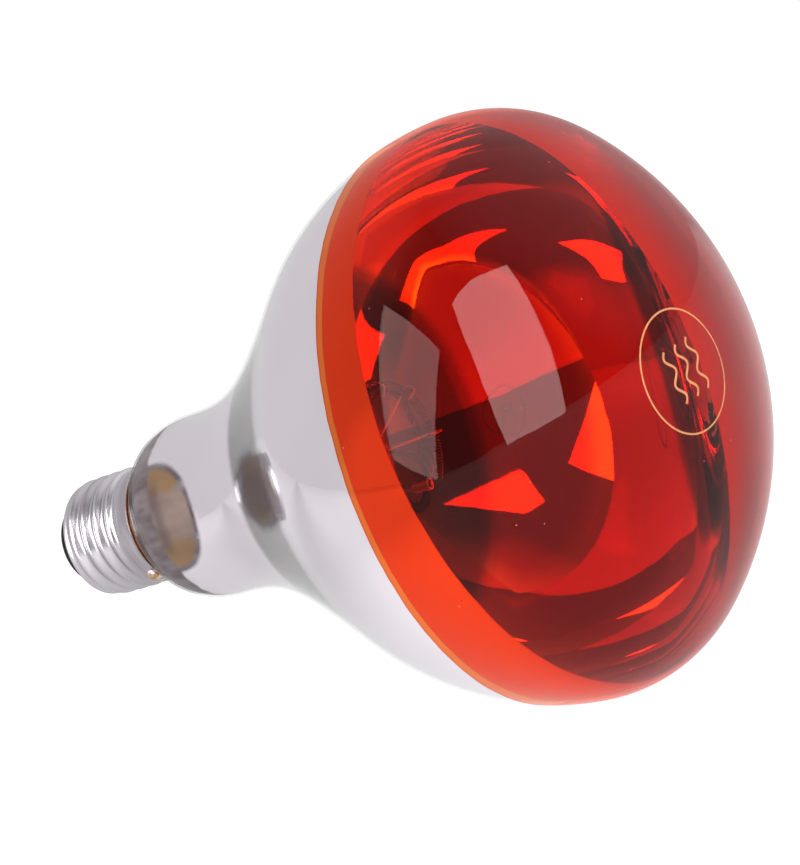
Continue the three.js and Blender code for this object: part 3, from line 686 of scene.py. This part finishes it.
def dome_mark():
    """A printed mark on the dome: a thin ring with three rising waves of heat in it."""
    dome = DOME_RADIUS + COATING_GAP + COATING_THICKNESS
    centre = Vector((0, -(GLASS_LENGTH - DOME_RADIUS), 0))
    x, z = MARK_PLACE
    out = Vector((x, -math.sqrt(dome**2 - x**2 - z**2), z)) / dome
    across = Vector((0, 0, 1)).cross(out).normalized()
    up = out.cross(across)
    foot = dome + MARK_LIFT
    vertices = []
    faces = []

    def ribbon(line, width, closed):
        """A thin flat ribbon of ink along a line given across and up from the mark's middle."""
        first = len(vertices)
        count = len(line)
        for i, point in enumerate(line):
            ahead = line[(i + 1) % count] if closed or i < count - 1 else point
            behind = line[i - 1] if closed or i > 0 else point
            way = (ahead - behind).normalized()
            side = Vector((-way.y, way.x)) * width / 2
            for edge in (point - side, point + side):
                way_out = (out * dome + across * edge.x + up * edge.y).normalized()
                vertices.append(centre + way_out * foot)
                vertices.append(centre + way_out * (foot + MARK_THICKNESS))
        for i in range(count if closed else count - 1):
            here, there = first + 4 * i, first + 4 * ((i + 1) % count)
            for a, b in ((0, 1), (1, 3), (3, 2), (2, 0)):
                faces.append((here + a, here + b, there + b, there + a))
        if not closed:
            for end in (first, first + 4 * (count - 1)):
                faces.append((end, end + 1, end + 3, end + 2))

    turns = [2 * math.pi * i / 120 for i in range(120)]
    ring = [Vector((math.cos(turn), math.sin(turn))) * MARK_RADIUS for turn in turns]
    ribbon(ring, MARK_RING_WIDTH, True)
    rise = [WAVE_HEIGHT * (i / 40 - 0.5) for i in range(41)]
    for offset in (-WAVE_SPACING, 0, WAVE_SPACING):
        wave = [Vector((offset + WAVE_SWING * math.sin(y * 1.25), y)) for y in rise]
        ribbon(wave, WAVE_WIDTH, False)
    piece = solid("dome_mark", vertices, faces, ["ink"])
    return declare(piece, "red_coat")


# ---- the cap ----


def thread_wave(angle, station):
    fade_in = smoothstep(station, THREAD_FROM, THREAD_FROM + THREAD_FADE)
    fade_out = smoothstep(station, THREAD_TO - THREAD_FADE, THREAD_TO)
    phase = -2 * math.pi * station / THREAD_PITCH - (math.pi / 2 - angle)
    return 0.5 * THREAD_DEPTH * math.cos(phase) * fade_in * (1 - fade_out)


def screw_shell():
    steps = 150
    lead_in = [(9.7, 3.9), (10.3, 3.98), (10.9, 4.2), (11.45, 4.5), (11.9, 4.8), (12.3, 5.2)]
    threaded = [(THREAD_RADIUS, mix(THREAD_FROM, THREAD_TO, i / steps)) for i in range(steps + 1)]
    skirt = [
        (12.8, 21.4), (SKIRT_RADIUS, SKIRT_STATION), (13.0, 23), (FLARE_RADIUS, FLARE_STATION), (13.3, 24.75),
        (13.65, CAP_LENGTH),
    ]
    outside = lead_in + threaded + skirt

    def profile(angle):
        outer = []
        for radius, station in outside:
            dent = 0.05 * noise.noise(spoke(angle, 0.35, station * 0.12))
            outer.append((radius + thread_wave(angle, station) + dent, station))
        inner = [(radius - SHELL_THICKNESS, station) for radius, station in outer]
        for i in range(len(lead_in)):
            inner[i] = (inner[i][0], inner[i][1] + SHELL_THICKNESS)
        return outer + inner[::-1]

    piece = revolved("cap_shell", profile, ["cap_aluminium"], sharp=50)
    return declare(piece, "cap_aluminium", "screw_shell")


def cap_insulator():
    """A round bead of black glass about the flat seat of the end contact."""
    outline = [
        (1.9, 1.7), (5.1, 1.7), (5.5, 1.0), (6.3, 0.5), (7.3, 0.35), (8.2, 0.5), (9.0, 1.15), (9.6, 2.1),
        (9.8, 3.1), (9.8, 3.5), (9.1, 3.6), (9.1, 7), (3.4, 7), (3.4, 5.2), (1.9, 5.2),
    ]
    piece = turned("black_insulator", rounded(outline, 0.7, 5), "black_glass")
    return declare(piece, "black_glass", "cap_insulator")


def centre_contact():
    outline = [(0.7, 0.85), (4.3, 0.85), (4.7, 1.0), (4.7, 1.4), (1.6, 1.4), (1.6, 4.6), (0.7, 4.6)]
    piece = turned("contact_eyelet", rounded(outline, 0.15), "contact_brass", 96)
    return declare(piece, "contact_brass", "centre_contact")


def centre_solder():
    def profile(angle):
        spread = 1 + 0.12 * ripple(angle, 1.5, 2.2)
        drop = [(0, 0), (1.4, 0.0), (2.2, 0.04), (2.6, 0.16), (2.85, 0.36), (2.95, 0.6), (0, 0.6)]
        return [(radius * min(spread, 1.05), station) for radius, station in drop]

    piece = revolved("contact_solder", profile, ["solder"], flats=96, sharp=50)
    return declare(piece, "solder", "centre_solder")


def basing_cement():
    inner = COLLAR_RADIUS + FIT_GAP
    inside = SHELL_THICKNESS + FIT_GAP
    outline = [
        (inner, SKIRT_STATION),
        (SKIRT_RADIUS - inside, SKIRT_STATION), (FLARE_RADIUS - inside, FLARE_STATION),
        (13.05, CAP_LENGTH + FIT_GAP), (13.35, CAP_LENGTH + 0.35), (13.2, CAP_LENGTH + 0.62),
        (inner, CAP_LENGTH + 0.2),
    ]
    soft = rounded(outline, 0.2)

    def profile(angle):
        squeezed = 0.14 * ripple(angle, 9, 4.4)
        return [(radius, station + (squeezed if station > CAP_LENGTH else 0)) for radius, station in soft]

    return declare(revolved("cement_ring", profile, ["cement"]), "cement", "basing_cement")


def side_solder():
    """The blob over the rim: a drop, flattened where it lies against the shell."""
    middle = spoke(SOLDER_ANGLE, SOLDER_RADIUS, SOLDER_STATION)
    height, half_length, half_width = SOLDER_REACH
    vertices = []
    faces = []
    around, rings = 48, 24
    tangent = spoke(SOLDER_ANGLE + math.pi / 2, 1, 0)
    backward = Vector((0, -1, 0))
    outward = spoke(SOLDER_ANGLE, 1, 0)
    for i in range(rings + 1):
        lift = math.pi * i / rings
        for j in range(around):
            turn = 2 * math.pi * j / around
            ways = Vector((math.sin(lift) * math.cos(turn), math.cos(lift), math.sin(lift) * math.sin(turn)))
            bulge = 1 + 0.16 * noise.noise(ways * 1.7)
            point = middle + (tangent * half_width * ways.z + backward * half_length * ways.y) * bulge
            out = max(SOLDER_FOOT - SOLDER_RADIUS, height * ways.x * bulge)
            vertices.append(point + outward * out)
    for i in range(rings):
        for j in range(around):
            k = (j + 1) % around
            faces.append((i * around + j, i * around + k, (i + 1) * around + k, (i + 1) * around + j))
    piece = solid("rim_solder", vertices, faces, ["solder"], sharp=60)
    return declare(piece, "solder", "side_solder")


# ---- the stem ----


def stem_flare():
    lip = COLLAR_RADIUS - GLASS_THICKNESS - FIT_GAP
    foot = COLLAR_END - FIT_GAP
    outline = [
        (COLLAR_RADIUS, 15.8), (COLLAR_RADIUS, foot), (lip - 0.6, foot), (lip - 1.8, 18.6),
        (STEM_RADIUS + 0.9, 20.6), (STEM_RADIUS + 0.2, 22.8), (STEM_RADIUS, 27), (STEM_RADIUS, PRESS_STATION),
        (STEM_RADIUS - 1, PRESS_STATION), (STEM_RADIUS - 1, 27), (STEM_RADIUS - 0.8, 22.1),
        (STEM_RADIUS - 0.1, 19.9), (lip - 2.6, 17.8), (lip - 1, 15.8),
    ]
    return declare(turned("stem_tube", rounded(outline, 0.6, 4), "stem_glass"), "stem_glass", "stem_flare")


def stem_press():
    """The pinched end of the stem, pillow-shaped where the tools closed it."""
    half, side = PRESS_WIDTH / 2, PRESS_THICKNESS / 2
    vertices = []
    faces = []
    around, rings = 64, 20
    for i in range(rings + 1):
        along = i / rings
        pinch = 1 - 0.22 * math.sin(math.pi * along) ** 2
        narrow = 1 - 0.5 * smoothstep(along, 0.86, 1.0) - 0.25 * smoothstep(0.1 - along, 0, 0.1)
        for j in range(around):
            turn = 2 * math.pi * j / around
            wide = math.copysign(abs(math.cos(turn)) ** 0.55, math.cos(turn))
            thick = math.copysign(abs(math.sin(turn)) ** 0.8, math.sin(turn))
            station = PRESS_STATION + FIT_GAP + PRESS_LENGTH * along
            vertices.append(Vector((half * narrow * wide, -station, side * pinch * narrow * thick)))
    for i in range(rings):
        for j in range(around):
            k = (j + 1) % around
            faces.append((i * around + j, i * around + k, (i + 1) * around + k, (i + 1) * around + j))
    faces.append(tuple(range(around)))
    faces.append(tuple(rings * around + j for j in range(around)))
    return declare(solid("press", vertices, faces, ["stem_glass"]), "stem_glass", "stem_press")


def exhaust_tube():
    outer, inner = EXHAUST_RADIUS, EXHAUST_RADIUS - 0.8
    top = PRESS_STATION - FIT_GAP
    outline = [
        (0, EXHAUST_TIP), (0.8, EXHAUST_TIP + 0.3), (1.5, EXHAUST_TIP + 1.2), (outer, EXHAUST_TIP + 2.6),
        (outer, top), (inner, top), (inner, EXHAUST_TIP + 4), (0.8, EXHAUST_TIP + 2.8),
        (0, EXHAUST_TIP + 2.4),
    ]
    piece = turned("pumping_tube", rounded(outline, 0.3), "stem_glass", 64)
    return declare(piece, "stem_glass", "exhaust_tube")


def arbor():
    foot = PRESS_TOP + FIT_GAP
    outline = [(0, foot), (ARBOR_RADIUS, foot), (ARBOR_RADIUS, ARBOR_TOP), (0, ARBOR_TOP)]
    declare(turned("glass_rod", rounded(outline, 0.3), "stem_glass", 48), "stem_glass", "arbor_rod")
    foot = ARBOR_TOP + FIT_GAP
    outline = [
        (0, foot), (1.9, foot), (BUTTON_RADIUS, foot + 1), (BUTTON_RADIUS, foot + 2.6), (1.9, foot + 3.7),
        (0, foot + 3.9),
    ]
    button = turned("glass_button", rounded(outline, 0.7, 5), "stem_glass", 64)
    declare(button, "stem_glass", "arbor_button")


# ---- the leads ----


def spot(x, station, z):
    return Vector((x, -station, z))


def outer_leads():
    x = LEAD_SPACING / 2 - 0.6
    route = [
        spot(x, PRESS_STATION - FIT_GAP, 0), spot(x, 34, 0), spot(x, 15, 0), spot(2.9, 10.5, 0),
        spot(0.6, 7.6, 0), spot(0, 6.2, 0), spot(0, 3.2, 0), spot(0, 0.85, 0),
    ]
    declare(wire("contact_lead", through(route, 8), OUTER_LEAD, "copper_wire"), "copper_wire", "centre_lead")
    bore = OUTER_LEAD + 0.2
    outline = [(bore, 21), (0.95, 21), (0.95, 30), (bore, 30)]
    sleeve = turned("fuse_sleeve", rounded(outline, 0.15), "stem_glass", 48, (x, 0))
    declare(sleeve, "stem_glass", "lead_fuse")
    way = COLLAR_RADIUS + FIT_GAP + OUTER_LEAD
    route = [
        spot(-x, PRESS_STATION - FIT_GAP, 0), spot(-x, 34, 0), spot(-x, 20, -0.2), spot(-4.6, 15.2, -2.4),
        spoke(SOLDER_ANGLE, 7.6, 13.4), spoke(SOLDER_ANGLE, 10.2, 14.4), spoke(SOLDER_ANGLE, way, 17),
        spoke(SOLDER_ANGLE, way, 21), spoke(SOLDER_ANGLE, way, 24.4),
        spoke(SOLDER_ANGLE, way + 0.7, CAP_LENGTH + 0.35), spoke(SOLDER_ANGLE, 13.5, CAP_LENGTH + 0.62),
        spoke(SOLDER_ANGLE, 14.3, CAP_LENGTH + 0.78),
    ]
    declare(wire("rim_lead", through(route, 8), OUTER_LEAD, "copper_wire"), "copper_wire", "side_lead")


def filament_end(side):
    return spoke(-math.pi / 2 + side * FILAMENT_GAP / 2, FILAMENT_RING, FILAMENT_STATION)


def inner_leads():
    for suffix, side in (("a", 1), ("b", -1)):
        x = side * LEAD_SPACING / 2
        end = filament_end(side)
        seal = [spot(x, PRESS_STATION + FIT_GAP, 0), spot(x, PRESS_TOP, 0)]
        piece = wire("seal_" + suffix, seal, OUTER_LEAD + 0.07, "copper_wire")
        declare(piece, "copper_wire", "seal_wire_" + suffix)
        route = [
            spot(x, PRESS_TOP + FIT_GAP, 0), spot(x, SHIELD_STATION - 1, 0), spot(x, SHIELD_STATION + 4, 0),
            spot(x + side * 0.6, 70, -4), spot(end.x, FILAMENT_STATION - 8, end.z),
            spot(end.x, FILAMENT_STATION - 1.2, end.z),
        ]
        piece = wire("lead_" + suffix, through(route, 8), INNER_LEAD, "nickel_wire", 3)
        declare(piece, "nickel_wire", "inner_lead_" + suffix)
        bore = INNER_LEAD + FIT_GAP
        top = FILAMENT_STATION - 1.6
        sleeve = [(bore, top - 4), (1.25, top - 4), (1.1, top - 2.4), (1.25, top), (bore, top)]
        piece = turned("clamp_" + suffix, rounded(sleeve, 0.2), "nickel_wire", 48, (end.x, end.z))
        declare(piece, "nickel_wire", "filament_clamp_" + suffix)
        flange = SHIELD_STATION - FIT_GAP
        eyelet = [
            (bore, flange - 0.3), (1.9, flange - 0.3), (1.9, flange), (1.05, flange),
            (1.05, SHIELD_STATION + 1.6), (bore, SHIELD_STATION + 1.6),
        ]
        piece = turned("eyelet_" + suffix, rounded(eyelet, 0.08), "contact_brass", 48, (x, 0))
        declare(piece, "contact_brass", "shield_eyelet_" + suffix)


# ---- the filament and the shield ----


def filament():
    start = -math.pi / 2 + FILAMENT_GAP / 2 + FILAMENT_TAIL
    sweep = 2 * math.pi - FILAMENT_GAP - 2 * FILAMENT_TAIL
    steps = FILAMENT_TURNS * 12
    points = []
    for i in range(steps + 1):
        turn = 2 * math.pi * FILAMENT_TURNS * i / steps
        radius = FILAMENT_RING + FILAMENT_COIL * math.cos(turn)
        station = FILAMENT_STATION + FILAMENT_COIL * math.sin(turn)
        points.append(spoke(start + sweep * i / steps, radius, station))
    declare(wire("filament_coil", points, FILAMENT_WIRE, "tungsten", 1), "tungsten", "filament")
    clear = FILAMENT_COIL + CAD_FILAMENT_WIRE + SUPPORT_WIRE + FIT_GAP
    for i in range(SUPPORTS):
        share = (i + 1) / (SUPPORTS + 1)
        angle = -math.pi / 2 + FILAMENT_GAP / 2 + (2 * math.pi - FILAMENT_GAP) * share
        route = [
            spoke(angle, BUTTON_RADIUS + FIT_GAP, ARBOR_TOP + FIT_GAP + 1.8),
            spoke(angle, FILAMENT_RING - 4.5, FILAMENT_STATION - clear - 2),
            spoke(angle, FILAMENT_RING - 1.2, FILAMENT_STATION - clear - 0.2),
            spoke(angle, FILAMENT_RING + clear, FILAMENT_STATION - 0.4),
            spoke(angle, FILAMENT_RING + 0.4, FILAMENT_STATION + clear + 0.2),
            spoke(angle, FILAMENT_RING - clear, FILAMENT_STATION + 0.9),
        ]
        piece = wire(f"support_{i + 1}", through(route, 8), SUPPORT_WIRE, "nickel_wire")
        declare(piece, "nickel_wire", f"filament_support_{i + 1}")


def heat_shield():
    """The CAD disc has the right shape, with its holes: it only needs the look of mica."""
    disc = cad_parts["heat_shield"]
    disc.data.materials.clear()
    disc.data.materials.append(LOOKS["mica"])


# ---- the stage ----

CAMERA_AIM = Vector((-14.2, -98.6, 5.9))
CAMERA_DISTANCE = 402
CAMERA_AZIMUTH, CAMERA_ELEVATION, CAMERA_ROLL = (math.radians(a) for a in (-56.17, 10.0, -23.93))
CAMERA_LENS = 87.4


def toward(azimuth, elevation):
    """The direction out to a place seen at an azimuth from -Y towards +X, and an elevation, in degrees."""
    a, e = math.radians(azimuth), math.radians(elevation)
    return Vector((math.sin(a) * math.cos(e), -math.cos(a) * math.cos(e), math.sin(e)))


def add_camera():
    camera = bpy.data.objects.new("camera", bpy.data.cameras.new("camera"))
    camera.data.lens = CAMERA_LENS
    camera.data.sensor_width = 36
    camera.data.sensor_fit = "AUTO"
    camera.data.clip_start = 0.01
    out = toward(math.degrees(CAMERA_AZIMUTH), math.degrees(CAMERA_ELEVATION))
    turn = out.to_track_quat("Z", "Y").to_matrix().to_4x4() @ Matrix.Rotation(CAMERA_ROLL, 4, "Z")
    camera.matrix_world = Matrix.Translation((CAMERA_AIM + out * CAMERA_DISTANCE) * MM) @ turn
    bpy.context.scene.collection.objects.link(camera)
    bpy.context.scene.camera = camera


def add_floor():
    """A pale level floor under the bowl that glows with painted light: brighter in front than behind, with
    painted shade near the lamp.
    """
    size = 12.0
    below_lamp = 0.0002
    level = -LAMP_RADIUS * MM - below_lamp
    mesh = bpy.data.meshes.new("floor")
    corners = [(-size, -size, level), (size, -size, level), (size, size, level), (-size, size, level)]
    mesh.from_pydata(corners, [], [(0, 1, 2, 3)])
    look = Look("pale_floor")
    grain = look.blend(look.noise(900, 3), (0.12, 0.12, 0.12), (0.11, 0.11, 0.112))
    diffuse = look.add("BsdfDiffuse", {"Color": grain}).outputs[0]
    place = look.add("SeparateXYZ", {0: look.place()}).outputs
    # painted shade: the floor's glow is dimmer near the lamp; painted light: it falls off from front to back
    painted_shade_near_lamp = look.between(look.math("ABSOLUTE", place["X"]), 0.01, 0.13, 0.76, 1.0)
    lit = look.math("MULTIPLY", look.between(place["Y"], -0.16, 0.08, 1.12, 0.66), painted_shade_near_lamp)
    seen = look.add("LightPath").outputs["Is Camera Ray"]
    strength = look.math("MAXIMUM", lit, look.math("MULTIPLY", seen, 0.97))
    glow = look.add("Emission", {"Color": (1, 1, 1, 1), "Strength": strength}).outputs[0]
    mesh.materials.append(look.finish(look.add("AddShader", {0: diffuse, 1: glow}).outputs[0]))
    floor = bpy.data.objects.new("floor", mesh)
    bpy.context.scene.collection.objects.link(floor)


def add_softbox(name, centre, *, up, facing, size, power):
    """A rectangular softbox. up is the way its long side runs, and facing the way it shines."""
    lamp = bpy.data.lights.new(name, "AREA")
    lamp.shape = "RECTANGLE"
    lamp.size, lamp.size_y = size
    lamp.energy = power
    light = bpy.data.objects.new(name, lamp)
    back = -Vector(facing).normalized()
    side = Vector(up).cross(back).normalized()
    rows = Matrix((side, back.cross(side), back)).transposed()
    light.matrix_world = Matrix.Translation(centre) @ rows.to_4x4()
    light.visible_camera = False
    bpy.context.scene.collection.objects.link(light)


def add_room():
    """A dim room with bright lobes behind the lamp and on either side. The camera sees it all white."""
    world = bpy.data.worlds.new("room")
    bpy.context.scene.world = world
    room = Nodes(world)
    way = room.add("TexCoord").outputs["Generated"]
    bright = 0.34

    def brighten(azimuth, elevation, low, high, strength):
        """The room with a bright lobe about a direction, which fades in between two cosines."""
        inputs = {0: way, 1: toward(azimuth, elevation)}
        dot = room.add("VectorMath", inputs, operation="DOT_PRODUCT").outputs["Value"]
        return room.math("MAXIMUM", bright, room.between(dot, low, high, 0.0, strength))

    bright = brighten(165, 5, -0.35, 0.25, 0.67)
    bright = brighten(-118, -5, 0.62, 0.92, 0.85)
    bright = brighten(62, 32, 0.35, 0.95, 1.0)
    seen = room.add("LightPath").outputs["Is Camera Ray"]
    inputs = {"Color": (1, 1, 1, 1), "Strength": room.math("MAXIMUM", bright, seen)}
    room.finish(room.add("Background", inputs).outputs[0], "OutputWorld")


def add_lights():
    add_softbox(
        "softbox_front", (-0.75, -2.04, 0.49),
        up=(0.87, 1.24, 1.71), facing=(0.01, 0.81, -0.59), size=(0.93, 2.28), power=76,
    )
    add_softbox(
        "softbox_left", (-1.95, 0.13, 0.83),
        up=(1.61, -0.93, 1.36), facing=(0.67, 0.07, -0.74), size=(1.56, 2.3), power=70,
    )


def set_render():
    scene = bpy.context.scene
    scene.view_settings.view_transform = "Standard"
    scene.cycles.max_bounces = 28
    scene.cycles.glossy_bounces = 12
    scene.cycles.transmission_bounces = 16
    scene.cycles.transparent_max_bounces = 48
    scene.cycles.use_denoising = True


add_camera()
add_floor()
add_room()
add_lights()
set_render()

bulb_glass()
red_filter_coat()
reflector_film()
dome_mark()
screw_shell()
cap_insulator()
centre_contact()
centre_solder()
basing_cement()
side_solder()
stem_flare()
stem_press()
exhaust_tube()
arbor()
outer_leads()
inner_leads()
filament()
heat_shield()
